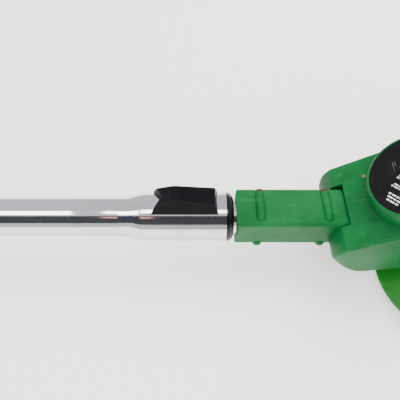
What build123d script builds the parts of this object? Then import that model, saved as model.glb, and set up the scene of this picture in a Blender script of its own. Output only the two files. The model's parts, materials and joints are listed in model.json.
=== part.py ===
from build123d import *
import os
from math import cos, radians, sin, sqrt, tan

# Cordless grass trimmer with a telescopic pole and a tilting head, lying on its guard and battery.
# Millimetres. +X runs along the pole towards the head, +Y is the tool's left side, +Z is up.
# The origin is the centre of the footprint, on the surface that the tool lies on.

# ------------------------------------------------------------------ driving sizes
overall_length = 930.0        # rear of the battery to the front of the guard, telescope closed
head_tilt = 36.0              # nose-up angle between the pole and the head, degrees
telescope_travel = 200.0
pole_clearance = 0.3          # between curved faces that belong to different moving bodies
running_clearance = 0.05      # radial play of a shaft or slider in its bore
part_gap = 0.3                # between flat faces that slide past each other

# pole
pole_r = 12.5
pole_wall = 0.9
socket_r = 15.35              # the widened front end of the outer tube
socket_length = 50.4
taper_length = 15.2
ring_length = 4.5             # black ring closing the socket
ring_gap = 1.5                # bare inner tube between the ring and the connector
inner_r = 11.1
inner_wall = 0.8
inner_grip = 40.0             # length of inner tube held in the connector
inner_overlap = 50.0          # narrow outer tube still round the inner tube at full reach
bush_length = 14.0
lead_r = 6.5                  # outside of the coiled lead in the pole

# sliding lock button on the socket
button_clock = 10.0           # turned about the pole, degrees
button_length = 41.5
button_front_gap = 4.5        # from the button to the ring
button_base_width = 16.0
button_peak = 6.65            # height of the ridge above the socket
button_peak_x = 14.2          # ridge, from the tip of the horns
button_tail = 3.45            # height of the front end above the socket
button_horn = 1.9             # height of the horns above the socket
button_notch = 3.6
button_draft = 17.5           # slope of the button's sides, degrees
button_travel = 4.0
stem_length = 12.0
stem_width = 5.0

# connector between the pole and the head
connector_half = 13.0
connector_length = 80.0       # rear face to the hinge
edge_round = 2.6
boss_r = 3.15
boss_proud = 2.0
boss_offsets = (14.5, 54.8)   # from the rear face
boss_y_span = (-10.85, 9.7)
boss_under_start = -14.5      # the underside's bosses reach past the right side

# head, in its own tilted frame: a forward, y left, n up from the hinge
ear_r = 22.0
arm_top = 20.4
arm_half = 28.8
arm_slope = 18.0              # underside of the arm, degrees
arm_corner = 12.0
arm_overcut = 2.0             # the plan outline runs past the ears' round ends
arm_edge = 1.9
root_clear = 25.0             # how far below the hinge line the rounded edges stop
motor_a = 37.5                # motor axis ahead of the hinge
drum_r = 26.5
drum_base = 44.0              # underside of the motor drum below the hinge
cap_base_r = 27.7
cap_rim_r = 25.2
cap_height = 10.8
label_r = 23.9
label_depth = 0.5
head_wall = 3.0
notch_front = 2.7             # front wall of the clevis gap, behind the hinge
notch_north = 14.8
notch_south = 13.3
pocket_gap = 0.4
pin_r = 4.0
tilt_button_r = 7.5
tilt_button_travel = 3.0

# motor and cutter
motor_r = 17.9
motor_length = 45.0
shaft_r = 2.5
blade_reach = 75.0
blade_width = 22.0
blade_thickness = 1.6
blade_drop = 11.0             # blade below the underside of the drum
flange_r = 9.0

# guard
guard_rear = 45.0             # straight rear edge behind the motor axis
guard_flat = 21.0             # half of that edge
guard_corner = 56.0
guard_front = 30.0
guard_thickness = 2.5
guard_lip = 4.0
guard_lip_wall = 2.2

# handle and battery, stations measured from the rear end of the tool
handle_length = 240.0
tube_seat = 25.0              # length of pole held in the handle
handle_wall = 2.6
grip_half = 17.0
block_half = 36.0
block_top = 24.0              # above the pole axis
block_floor = -6.0            # the battery hangs below this level
block_front = 118.0
block_rear = 14.0
battery_length = 108.0
battery_half = 36.0
rail_neck = 20.0
rail_head = 24.0
rail_lip = 4.0
rail_height = 8.0
cell_r = 9.1
cell_length = 64.5
cell_count = 5
battery_wall = 2.2

handle_post_r = 3.4
slider_length = 17.0
slider_half = 6.0
slider_travel = 5.0
pad_proud = 1.2

# support handle, clamped round the pole
loop_station = 310.0          # from the rear end of the tool
clamp_length = 28.0
clamp_wall = 5.0
loop_pivot = 27.0             # above the pole axis
loop_half = 56.0
loop_height = 92.0            # pivot to the middle of the crossbar
loop_bar_r = 4.6
cheek = 10.0                   # thickness of the loop's feet
sleeve_r = 10.5
sleeve_half = 31.0
knob_r = 13.0
bolt_r = 3.0

# fasteners
screw_r = 1.25
screw_head_r = 2.4
screw_head = 1.6

# ------------------------------------------------------------------ places worked out from the sizes
tilt_c = cos(radians(head_tilt))
tilt_s = sin(radians(head_tilt))
guard_top = -drum_base
guard_plate = guard_top - guard_thickness
guard_bottom = guard_plate - guard_lip
pole_z = -((motor_a - guard_rear) * tilt_s + guard_bottom * tilt_c)
rear_x = -overall_length / 2
hinge_x = overall_length / 2 - ((motor_a + guard_front) * tilt_c - guard_plate * tilt_s)
connector_x = hinge_x - connector_length
ring_front_x = connector_x - ring_gap
socket_x = ring_front_x - ring_length
socket_rear_x = socket_x - socket_length
narrow_x = socket_rear_x - taper_length
handle_x = rear_x + handle_length
tube_rear_x = handle_x - tube_seat
pole_bore = pole_r - pole_wall
socket_bore = socket_r - pole_wall
inner_front_x = connector_x + inner_grip
inner_rear_x = narrow_x - telescope_travel - inner_overlap
button_x = socket_x - button_front_gap - button_length
stem_x = button_x + button_length * 0.45
battery_top = block_floor - part_gap

SIDE = Plane(origin=(0, 0, pole_z), x_dir=(1, 0, 0), z_dir=(0, -1, 0))
POLE = Axis((0, 0, pole_z), (1, 0, 0))
HEAD = Plane(origin=(hinge_x, 0, pole_z), x_dir=(tilt_c, 0, tilt_s), z_dir=(-tilt_s, 0, tilt_c))
HEAD_SIDE = Plane(origin=(hinge_x, 0, pole_z), x_dir=(tilt_c, 0, tilt_s), z_dir=(0, -1, 0))
MOTOR = Axis(HEAD.from_local_coords(Vector(motor_a, 0, 0)), HEAD.z_dir)
BUTTON = Plane(
    origin=(0, 0, pole_z),
    x_dir=(1, 0, 0),
    z_dir=(0, sin(radians(button_clock)), cos(radians(button_clock))),
)
pieces = {}


def across(x):
    """Plane square to the pole at x: its x is +Y and its y is +Z, measured from the pole axis."""
    return Plane(origin=(x, 0, pole_z), x_dir=(0, 1, 0), z_dir=(1, 0, 0))


def level(height):
    """Level plane at this height above the pole axis, with its x along the pole."""
    return Plane.XY.offset(pole_z + height)


def leftward(plane, y):
    """The side plane moved to the station y, so that extrude works towards +Y."""
    return Plane(origin=plane.origin + Vector(0, y, 0), x_dir=plane.x_dir, z_dir=(0, 1, 0))


def rod(plane, at, radius, length):
    """Round bar standing on a plane at one of its points."""
    with BuildPart() as bar:
        with BuildSketch(plane):
            with Locations(at):
                Circle(radius)
        extrude(amount=length)
    return bar


def coil_spring(plane, radius, wire_r, turns, length):
    """Compression spring that stands on a plane."""
    with BuildPart() as spring:
        with BuildLine():
            path = Helix(length / turns, length, radius, center=plane.origin, direction=plane.z_dir)
        with BuildSketch(Plane(origin=path @ 0, z_dir=path % 0)):
            Circle(wire_r)
        sweep(path=path, is_frenet=True)
    return spring


def screws(plane, points, shank):
    """Pan-head screws: the head's seat lies on the plane and the shank runs along its normal."""
    with BuildPart() as group:
        with BuildSketch(plane):
            with Locations(*points):
                Circle(screw_r)
        extrude(amount=shank)
        with BuildSketch(plane):
            with Locations(*points):
                Circle(screw_head_r)
        extrude(amount=-screw_head)
        with BuildSketch(plane.offset(-screw_head)):
            with Locations(*points):
                SlotOverall(screw_head_r * 1.5, 0.6)
                SlotOverall(screw_head_r * 1.5, 0.6, rotation=90)
        extrude(amount=screw_head * 0.5, mode=Mode.SUBTRACT)
    return group


# ------------------------------------------------------------------ pole
with BuildPart() as outer_tube:
    with BuildSketch(SIDE):
        with BuildLine():
            Line((tube_rear_x, pole_bore), (tube_rear_x, pole_r))
            Line((tube_rear_x, pole_r), (narrow_x, pole_r))
            Spline((narrow_x, pole_r), (socket_rear_x, socket_r), tangents=((1, 0), (1, 0)))
            Polyline(
                (socket_rear_x, socket_r),
                (socket_x, socket_r),
                (socket_x, socket_bore),
                (socket_rear_x, socket_bore),
            )
            Spline((socket_rear_x, socket_bore), (narrow_x, pole_bore), tangents=((-1, 0), (-1, 0)))
            Line((narrow_x, pole_bore), (tube_rear_x, pole_bore))
        make_face()
    revolve(axis=POLE)
    # slot that the lock button's stem slides in
    slot_length = stem_length + button_travel + 1.0
    with BuildSketch(BUTTON.offset(pole_bore)):
        with Locations((stem_x + (stem_length + button_travel) / 2, 0)):
            Rectangle(slot_length, stem_width + 0.6)
    extrude(amount=socket_r, mode=Mode.SUBTRACT)
pieces["outer_tube"] = outer_tube

sleeve_back_x = socket_rear_x + 4.0
window_length = 22.0
window_x = stem_x + 4.0
with BuildPart() as lock_sleeve:
    with BuildSketch(across(sleeve_back_x)):
        Circle(socket_bore - running_clearance)
        Circle(inner_r + running_clearance, mode=Mode.SUBTRACT)
    extrude(amount=socket_x - sleeve_back_x)
    with BuildSketch(BUTTON.offset(inner_r / 2)):
        with Locations((window_x + 2, 0)):
            Rectangle(window_length + 8, 8)
    extrude(amount=socket_r, mode=Mode.SUBTRACT)
pieces["lock_sleeve"] = lock_sleeve

with BuildPart() as tube_end_ring:
    with BuildSketch(SIDE):
        with BuildLine():
            Polyline(
                (socket_x, inner_r + pole_clearance),
                (socket_x, socket_r + 0.1),
                (socket_x + 0.8, socket_r + 0.1),
            )
            ThreePointArc(
                (socket_x + 0.8, socket_r + 0.1),
                (socket_x + ring_length * 0.72, socket_r - 1.0),
                (ring_front_x, socket_r - 3.2),
            )
            Polyline(
                (ring_front_x, socket_r - 3.2),
                (ring_front_x, inner_r + pole_clearance),
                (socket_x, inner_r + pole_clearance),
            )
        make_face()
    revolve(axis=POLE)
pieces["tube_end_ring"] = tube_end_ring

button_seat = socket_r + pole_clearance
button_root = socket_r - 6.0
root_half = button_base_width / 2 + (button_seat - button_root) * tan(radians(button_draft))
with BuildPart() as lock_button:
    # plan outline with the notched rear end, drawn in as it rises
    with BuildSketch(BUTTON.offset(button_root)):
        with BuildLine():
            Polyline(
                (button_x - 1, -root_half),
                (button_x + button_length + 0.6, -root_half),
                (button_x + button_length + 0.6, root_half),
                (button_x - 1, root_half),
                (button_x + button_notch, 0),
                close=True,
            )
        make_face()
    extrude(amount=button_seat + button_peak + 4 - button_root, taper=button_draft)
    # side outline: ramp from the horns to the ridge, then a long slope down to the front
    with BuildSketch(Plane(origin=BUTTON.origin, x_dir=(1, 0, 0), z_dir=BUTTON.x_dir.cross(BUTTON.z_dir))):
        with BuildLine():
            Polyline(
                (button_x, button_root),
                (button_x + button_length, button_root),
                (button_x + button_length, socket_r + button_tail),
                (button_x + button_peak_x + 1, socket_r + button_peak),
                (button_x + button_peak_x - 1, socket_r + button_peak - 0.2),
                (button_x, socket_r + button_horn),
                close=True,
            )
        make_face()
    extrude(amount=2 * root_half, both=True, mode=Mode.INTERSECT)
    with BuildSketch(across(button_x - 10)):
        Circle(button_seat)
    extrude(amount=button_length + 20, mode=Mode.SUBTRACT)
    # finger ridges across the ramp
    ramp = (button_peak - button_horn) / button_peak_x
    for groove in range(6):
        groove_x = button_x + 2.6 + groove * 1.95
        with BuildSketch(BUTTON.offset(socket_r + button_horn + (groove_x - button_x) * ramp - 0.45)):
            with Locations((groove_x, 0)):
                Rectangle(0.9, button_base_width - 6.5)
        extrude(amount=3, mode=Mode.SUBTRACT)
    # stem through the socket
    with BuildSketch(BUTTON.offset(socket_bore - 1.2)):
        with Locations((stem_x + stem_length / 2, 0)):
            Rectangle(stem_length, stem_width)
    extrude(amount=3.2)
pieces["lock_button"] = lock_button

with BuildPart() as lock_shoe:
    with BuildSketch(across(stem_x)):
        Circle(socket_bore - 1.8)
        Circle(inner_r + pole_clearance, mode=Mode.SUBTRACT)
    extrude(amount=stem_length)
    with BuildSketch(BUTTON):
        with Locations((stem_x + stem_length / 2, 0)):
            Rectangle(stem_length, 6.6)
    extrude(amount=socket_r, mode=Mode.INTERSECT)
pieces["lock_shoe"] = lock_shoe

spring_r = 1.0
spring_length = 7.0
spring_x = stem_x + stem_length + 0.5
spring_height = inner_r + 1.95
spring_place = BUTTON.origin + BUTTON.z_dir * spring_height + Vector(spring_x, 0, 0)
SPRING = Plane(origin=spring_place, z_dir=(1, 0, 0))
pieces["lock_button_spring"] = coil_spring(SPRING, spring_r, 0.25, 6, spring_length)

with BuildPart() as inner_tube:
    with BuildSketch(across(inner_rear_x)):
        Circle(inner_r)
        Circle(inner_r - inner_wall, mode=Mode.SUBTRACT)
    extrude(amount=inner_front_x - inner_rear_x)
pieces["inner_tube"] = inner_tube
with BuildPart() as inner_tube_bush:
    with BuildSketch(SIDE):
        with BuildLine():
            Polyline(
                (inner_rear_x - 3, lead_r + 1.5),
                (inner_rear_x - 3, pole_bore - running_clearance),
                (inner_rear_x, pole_bore - running_clearance),
                (inner_rear_x, inner_r - inner_wall),
                (inner_rear_x + bush_length, inner_r - inner_wall),
                (inner_rear_x + bush_length, lead_r + 1.5),
                close=True,
            )
        make_face()
    revolve(axis=POLE)
pieces["inner_tube_bush"] = inner_tube_bush

with BuildPart() as coiled_lead:
    with BuildSketch(across(tube_rear_x + 6)):
        Circle(lead_r)
    extrude(amount=inner_front_x - tube_rear_x - 8)
pieces["coiled_lead"] = coiled_lead

# ------------------------------------------------------------------ connector
screw_z = connector_half - 0.45
with BuildPart() as connector_body:
    with BuildSketch(SIDE):
        with Locations((connector_x + connector_length / 2, 0)):
            Rectangle(connector_length, 2 * connector_half)
        with Locations((hinge_x, 0)):
            Circle(connector_half)
    extrude(amount=connector_half, both=True)
    side_edges = connector_body.faces().sort_by(Axis.Y)[0].edges()
    side_edges += connector_body.faces().sort_by(Axis.Y)[-1].edges()
    fillet(side_edges, edge_round)
    # half-round screw bosses along the top and the underside, each with one ball end
    for side, start_y in ((1, boss_y_span[0]), (-1, boss_under_start)):
        for offset_x in boss_offsets:
            axis_z = side * (connector_half + boss_proud - boss_r)
            with BuildSketch(leftward(SIDE, start_y + boss_r)):
                with Locations((connector_x + offset_x, -axis_z)):
                    Circle(boss_r)
            extrude(amount=boss_y_span[1] - start_y - boss_r)
            with Locations((connector_x + offset_x, start_y + boss_r, pole_z + axis_z)):
                Sphere(boss_r)
    # bore for the inner tube, cavity for the wires and the duct through the tongue
    with BuildSketch(across(connector_x)):
        Circle(inner_r)
    extrude(amount=inner_grip, mode=Mode.SUBTRACT)
    with BuildSketch(across(connector_x + inner_grip)):
        RectangleRounded(18, 18, 3)
    extrude(amount=connector_length - inner_grip - 16, mode=Mode.SUBTRACT)
    with BuildSketch(across(hinge_x - 20)):
        with Locations((0, 7.2)):
            Rectangle(9, 4)
    extrude(amount=20 + connector_half, mode=Mode.SUBTRACT)
    with BuildSketch(leftward(SIDE, -connector_half)):
        with Locations((hinge_x, 0)):
            Circle(pin_r + running_clearance)
    extrude(amount=2 * connector_half, mode=Mode.SUBTRACT)
    # holes for the screws and seats for their heads, open to the left
    for side in (1, -1):
        for offset_x in boss_offsets:
            with BuildSketch(leftward(SIDE, boss_y_span[0] + 2)):
                with Locations((connector_x + offset_x, -side * screw_z)):
                    Circle(screw_r)
            extrude(amount=30, mode=Mode.SUBTRACT)
            with BuildSketch(leftward(SIDE, boss_y_span[1])):
                with Locations((connector_x + offset_x, -side * screw_z)):
                    Circle(screw_head_r + 0.4)
            extrude(amount=10, mode=Mode.SUBTRACT)
for name, keep in (("connector_north_shell", Keep.BOTTOM), ("connector_south_shell", Keep.TOP)):
    with BuildPart() as half:
        add(connector_body.part)
        split(bisect_by=Plane.XZ, keep=keep)
    pieces[name] = half

NORTHWARD = Plane(origin=SIDE.origin + Vector(0, boss_y_span[1], 0), x_dir=(1, 0, 0), z_dir=(0, -1, 0))
connector_screw_points = [(connector_x + dx, side * screw_z) for dx in boss_offsets for side in (1, -1)]
pieces["connector_screws"] = screws(NORTHWARD, connector_screw_points, boss_y_span[1] - boss_y_span[0] - 3)

plate_thickness = 1.2
with BuildPart() as tilt_detent_plate:
    with BuildSketch(leftward(SIDE, connector_half)):
        with Locations((hinge_x, 0)):
            Circle(10.2)
            with PolarLocations(10.2, 12):
                Circle(1.1, mode=Mode.SUBTRACT)
            Circle(pin_r + pole_clearance, mode=Mode.SUBTRACT)
    extrude(amount=plate_thickness)
pieces["tilt_detent_plate"] = tilt_detent_plate

# ------------------------------------------------------------------ head shells
swing_r = connector_half + pocket_gap     # clear space round the connector's rounded end
pin_right = 22.0
tilt_well_y = notch_north + head_wall
tilt_well_r = tilt_button_r + 2.0
head_column_a = 20.5
head_column_half = 12.0
head_column_r = 2.4
head_columns_n = (-20.0, 10.0)
head_screw_length = 21.0
head_screw_points = (
    (swing_r - 1.4, arm_top - 3.9, 14.0),
    (swing_r - 2.9, -ear_r + 2.5, 14.0),
    (motor_a + head_column_a, head_columns_n[0], head_column_half + 0.5),
    (motor_a + head_column_a, head_columns_n[1], head_column_half + 0.5),
)
guard_screw_r = 22.0
guard_screw_length = 8.5
guard_screw_points = [
    (motor_a + guard_screw_r * cos(radians(turn)), guard_screw_r * sin(radians(turn)))
    for turn in (45, 135, 225, 315)
]
slope = radians(arm_slope)
slope_start = (-ear_r * sin(slope), -ear_r * cos(slope))
slope_end_n = -(ear_r / cos(slope) + motor_a * tan(slope))
top_start_a = -sqrt(ear_r**2 - arm_top**2)
drum_inner_r = cap_rim_r - head_wall + 0.4
cap_top = arm_top + cap_height
with BuildPart() as head_body:
    # plan outline of the arm, cut to its side outline
    with BuildSketch(HEAD.offset(-drum_base)):
        with Locations(((motor_a - ear_r - arm_overcut) / 2, 0)):
            Rectangle(motor_a + ear_r + arm_overcut, 2 * arm_half)
        fillet(vertices().group_by(Axis.X)[0], arm_corner)
        with Locations((motor_a, 0)):
            Circle(arm_half)
    extrude(amount=drum_base + arm_top)
    with BuildSketch(HEAD_SIDE):
        with BuildLine():
            ThreePointArc((top_start_a, arm_top), (-ear_r, 0), slope_start)
            Polyline(
                slope_start,
                (motor_a, slope_end_n),
                (motor_a + arm_half + 1, slope_end_n),
                (motor_a + arm_half + 1, arm_top),
                (top_start_a, arm_top),
            )
        make_face()
    extrude(amount=arm_half + 1, both=True, mode=Mode.INTERSECT)
    fillet(
        head_body.edges().filter_by(lambda edge: HEAD.to_local_coords(edge.center()).Z > -root_clear),
        arm_edge,
    )
    # motor drum below the arm and domed cap above it
    with BuildSketch(HEAD_SIDE):
        with BuildLine():
            Polyline(
                (motor_a, -drum_base),
                (motor_a + drum_r, -drum_base),
                (motor_a + drum_r, 0),
                (motor_a, 0),
                close=True,
            )
        make_face()
    revolve(axis=MOTOR)
    with BuildSketch(HEAD_SIDE):
        with BuildLine():
            Polyline(
                (motor_a + cap_base_r, arm_top),
                (motor_a + cap_base_r, arm_top - 3),
                (motor_a, arm_top - 3),
                (motor_a, cap_top),
                (motor_a + cap_rim_r - 0.6, cap_top),
            )
            ThreePointArc(
                (motor_a + cap_rim_r - 0.6, cap_top),
                (motor_a + cap_rim_r - 0.1, cap_top - 0.25),
                (motor_a + cap_rim_r + 0.2, cap_top - 0.8),
            )
            Spline(
                (motor_a + cap_rim_r + 0.2, cap_top - 0.8),
                (motor_a + cap_base_r, arm_top),
                tangents=((0.5, -1), (0.08, -1)),
            )
        make_face()
    revolve(axis=MOTOR)
    # recess for the label
    with BuildSketch(HEAD.offset(cap_top - label_depth)):
        with Locations((motor_a, 0)):
            Circle(label_r + 0.1)
    extrude(amount=3, mode=Mode.SUBTRACT)
    # clevis gap: open to the rear, shaped to the connector from straight to fully raised
    notch_n = (swing_r + notch_front * tilt_s) / tilt_c
    with BuildSketch(leftward(HEAD_SIDE, -notch_south)):
        with BuildLine():
            Polyline(
                (0, swing_r),
                (-2 * ear_r, swing_r),
                (-2 * ear_r, -2 * arm_top),
                (-notch_front, -2 * arm_top),
                (-notch_front, -notch_n),
                (swing_r * tilt_s, -swing_r * tilt_c),
            )
            ThreePointArc((swing_r * tilt_s, -swing_r * tilt_c), (swing_r, 0), (0, swing_r))
        make_face()
    extrude(amount=notch_south + notch_north, mode=Mode.SUBTRACT)
    # motor space, arm cavity, window between the clevis and the cavity
    with BuildSketch(HEAD.offset(-drum_base + head_wall)):
        with Locations((motor_a, 0)):
            Circle(drum_inner_r)
    extrude(amount=drum_base + cap_top - 2 * head_wall, mode=Mode.SUBTRACT)
    cavity_a = swing_r + head_wall
    with BuildSketch(leftward(HEAD_SIDE, -arm_half + head_wall)):
        with BuildLine():
            Polyline(
                (cavity_a, -arm_top + head_wall),
                (motor_a - 6, -arm_top + head_wall),
                (motor_a - 6, ear_r + 4),
                (cavity_a, ear_r),
                close=True,
            )
        make_face()
    extrude(amount=2 * (arm_half - head_wall), mode=Mode.SUBTRACT)
    with BuildSketch(HEAD.offset(-8)):
        with Locations((cavity_a - 2, 0)):
            Rectangle(8, 10)
    extrude(amount=20, mode=Mode.SUBTRACT)
    # hole for the blade shaft
    with BuildSketch(HEAD.offset(-drum_base)):
        with Locations((motor_a, 0)):
            Circle(flange_r + 1)
    extrude(amount=head_wall, mode=Mode.SUBTRACT)
    # screw columns in front of the motor
    for column_n in head_columns_n:
        with BuildSketch(leftward(HEAD_SIDE, -head_column_half)):
            with Locations((motor_a + head_column_a, -column_n)):
                Circle(head_column_r)
        extrude(amount=2 * head_column_half)
    # pin bore, blind to the right, and the well of the tilt lock button in the left ear
    with BuildSketch(leftward(HEAD_SIDE, -pin_right)):
        Circle(pin_r + running_clearance / 2)
    extrude(amount=pin_right + tilt_well_y, mode=Mode.SUBTRACT)
    with BuildSketch(leftward(HEAD_SIDE, tilt_well_y)):
        Circle(tilt_well_r)
    extrude(amount=arm_half, mode=Mode.SUBTRACT)
    # holes and head seats for the screws that close the two shells
    for a, n, seat_y in head_screw_points:
        with BuildSketch(leftward(HEAD_SIDE, seat_y - head_screw_length)):
            with Locations((a, -n)):
                Circle(screw_r)
        extrude(amount=head_screw_length, mode=Mode.SUBTRACT)
        with BuildSketch(leftward(HEAD_SIDE, seat_y)):
            with Locations((a, -n)):
                Circle(screw_head_r + 0.4)
        extrude(amount=arm_half, mode=Mode.SUBTRACT)
    # pads under the guard screws
    with BuildSketch(HEAD.offset(-drum_base)):
        with Locations(*guard_screw_points):
            Circle(3.0)
    extrude(amount=guard_screw_length - guard_thickness)
    with BuildSketch(HEAD.offset(-drum_base)):
        with Locations(*guard_screw_points):
            Circle(screw_r)
    extrude(amount=guard_screw_length - guard_thickness, mode=Mode.SUBTRACT)
for name, keep in (("head_north_shell", Keep.BOTTOM), ("head_south_shell", Keep.TOP)):
    with BuildPart() as half:
        add(head_body.part)
        split(bisect_by=Plane.XZ, keep=keep)
    pieces[name] = half

# ------------------------------------------------------------------ head fittings
pieces["hinge_pin"] = rod(
    leftward(HEAD_SIDE, -pin_right + 0.2), (0, 0), pin_r, pin_right + tilt_well_y - 0.6
)


def head_from_left(y):
    """Side plane of the head at the station y, facing right, so that extrude works towards -Y."""
    return Plane(origin=HEAD.origin + Vector(0, y, 0), x_dir=HEAD.x_dir, z_dir=(0, -1, 0))


with BuildPart() as head_screws:
    for a, n, seat_y in head_screw_points:
        with BuildSketch(head_from_left(seat_y)):
            with Locations((a, n)):
                Circle(screw_r)
        extrude(amount=head_screw_length)
        with BuildSketch(head_from_left(seat_y + screw_head)):
            with Locations((a, n)):
                Circle(screw_head_r)
        extrude(amount=screw_head)
        with BuildSketch(head_from_left(seat_y + screw_head)):
            with Locations((a, n)):
                Rectangle(3.2, 0.6)
                Rectangle(0.6, 3.2)
        extrude(amount=screw_head * 0.5, mode=Mode.SUBTRACT)
pieces["head_screws"] = head_screws

tilt_flange = 1.6
tilt_inner_y = tilt_well_y + tilt_button_travel + 1.4
bezel_y = arm_half - 1.8
with BuildPart() as tilt_lock_button:
    with BuildSketch(leftward(HEAD_SIDE, tilt_inner_y)):
        Circle(tilt_well_r - pole_clearance)
    extrude(amount=bezel_y - part_gap - tilt_inner_y)
    with BuildSketch(leftward(HEAD_SIDE, tilt_inner_y)):
        Circle(tilt_button_r)
    extrude(amount=arm_half + 2.0 - tilt_inner_y)
    fillet(tilt_lock_button.faces().sort_by(Axis.Y)[-1].edges(), 0.8)
    with BuildSketch(leftward(HEAD_SIDE, arm_half + 1.5)):
        for groove in (-4, -2, 0, 2, 4):
            with Locations((groove, 0)):
                Rectangle(0.7, 9)
    extrude(amount=2, mode=Mode.SUBTRACT)
    with BuildSketch(leftward(HEAD_SIDE, tilt_inner_y)):
        Circle(tilt_button_r - 1.5)
        Circle(2.0, mode=Mode.SUBTRACT)
    extrude(amount=tilt_flange, mode=Mode.SUBTRACT)
pieces["tilt_lock_button"] = tilt_lock_button
with BuildPart() as tilt_lock_bezel:
    with BuildSketch(leftward(HEAD_SIDE, bezel_y)):
        Circle(tilt_well_r)
        Circle(tilt_button_r + pole_clearance, mode=Mode.SUBTRACT)
    extrude(amount=arm_half - bezel_y)
    with BuildSketch(leftward(HEAD_SIDE, arm_half)):
        Circle(tilt_well_r + 1.6)
        Circle(tilt_button_r + pole_clearance, mode=Mode.SUBTRACT)
    extrude(amount=1.0)
    fillet(tilt_lock_bezel.faces().sort_by(Axis.Y)[-1].edges(), 0.3)
pieces["tilt_lock_bezel"] = tilt_lock_bezel
pieces["tilt_lock_spring"] = coil_spring(
    leftward(HEAD_SIDE, tilt_well_y + 0.4),
    tilt_button_r - 2.6,
    0.4,
    3,
    tilt_inner_y - tilt_well_y - 0.8 + tilt_flange,
)

with BuildPart() as label_disc:
    with BuildSketch(HEAD.offset(cap_top - label_depth)):
        with Locations((motor_a, 0)):
            Circle(label_r)
    extrude(amount=label_depth - 0.15)
pieces["label_disc"] = label_disc

# ------------------------------------------------------------------ motor, about the MOTOR axis
mount_n = -drum_base + head_wall + guard_screw_length - guard_thickness - head_wall + 0.2
mount_thickness = 2.0
can_n = mount_n + mount_thickness
can_wall = 1.3
rotor_r = 12.4
bearing_r = 6.5
mount_screw_pitch = 12.5


def motor_ring(n_from, n_to, radius, bore):
    """Ring about the motor axis between two heights in the head's frame."""
    with BuildPart() as ring:
        with BuildSketch(HEAD.offset(n_from)):
            with Locations((motor_a, 0)):
                Circle(radius)
                Circle(bore, mode=Mode.SUBTRACT)
        extrude(amount=n_to - n_from)
    return ring


with BuildPart() as motor_mount_plate:
    with BuildSketch(HEAD.offset(mount_n)):
        with Locations((motor_a, 0)):
            Circle(drum_inner_r - 0.2)
            Circle(bearing_r + 0.1, mode=Mode.SUBTRACT)
        with Locations((motor_a, mount_screw_pitch), (motor_a, -mount_screw_pitch)):
            Circle(screw_r + 0.1, mode=Mode.SUBTRACT)
    extrude(amount=mount_thickness)
pieces["motor_mount_plate"] = motor_mount_plate
with BuildPart() as motor_can:
    with BuildSketch(HEAD.offset(can_n)):
        with Locations((motor_a, 0)):
            Circle(motor_r)
    extrude(amount=motor_length)
    with BuildSketch(HEAD.offset(can_n + 2)):
        with Locations((motor_a, 0)):
            Circle(motor_r - can_wall)
    extrude(amount=motor_length, mode=Mode.SUBTRACT)
    with BuildSketch(HEAD.offset(can_n)):
        with Locations((motor_a, 0)):
            Circle(bearing_r)
        with Locations((motor_a, mount_screw_pitch), (motor_a, -mount_screw_pitch)):
            Circle(screw_r)
    extrude(amount=2, mode=Mode.SUBTRACT)
pieces["motor_can"] = motor_can
motor_end_n = can_n + motor_length
with BuildPart() as motor_end_bell:
    with BuildSketch(HEAD.offset(motor_end_n)):
        with Locations((motor_a, 0)):
            Circle(motor_r)
            Circle(4.0, mode=Mode.SUBTRACT)
    extrude(amount=3)
    for side in (1, -1):
        with BuildSketch(HEAD.offset(motor_end_n + 3)):
            with Locations((motor_a, side * 11)):
                Rectangle(3, 0.8)
        extrude(amount=4)
pieces["motor_end_bell"] = motor_end_bell
with BuildPart() as motor_magnets:
    with BuildSketch(HEAD.offset(can_n + 5)):
        with Locations((motor_a, 0)):
            Circle(motor_r - can_wall)
            Circle(rotor_r + 0.8, mode=Mode.SUBTRACT)
            Rectangle(9, 3 * motor_r, mode=Mode.SUBTRACT)
    extrude(amount=motor_length - 12)
pieces["motor_magnets"] = motor_magnets
pieces["front_bearing"] = motor_ring(mount_n - 3, can_n + 2, bearing_r, shaft_r + running_clearance)
blade_n = -drum_base - blade_drop
nut_height = 4.5
with BuildPart() as rotor:
    with BuildSketch(HEAD.offset(can_n + 6)):
        with Locations((motor_a, 0)):
            Circle(rotor_r)
            with PolarLocations(rotor_r, 5):
                Rectangle(5, 2.2, mode=Mode.SUBTRACT)
    extrude(amount=motor_length - 14)
    with BuildSketch(HEAD.offset(blade_n - blade_thickness - nut_height - 1)):
        with Locations((motor_a, 0)):
            Circle(shaft_r)
    extrude(amount=motor_end_n + 2.5 - blade_n + blade_thickness + nut_height + 1)
pieces["rotor"] = rotor
with BuildPart() as motor_screws:
    screw_points = [(motor_a, mount_screw_pitch), (motor_a, -mount_screw_pitch)]
    with BuildSketch(HEAD.offset(mount_n)):
        with Locations(*screw_points):
            Circle(screw_r)
    extrude(amount=mount_thickness + 2.5)
    with BuildSketch(HEAD.offset(mount_n - screw_head)):
        with Locations(*screw_points):
            Circle(screw_head_r)
    extrude(amount=screw_head)
pieces["motor_screws"] = motor_screws

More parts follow.
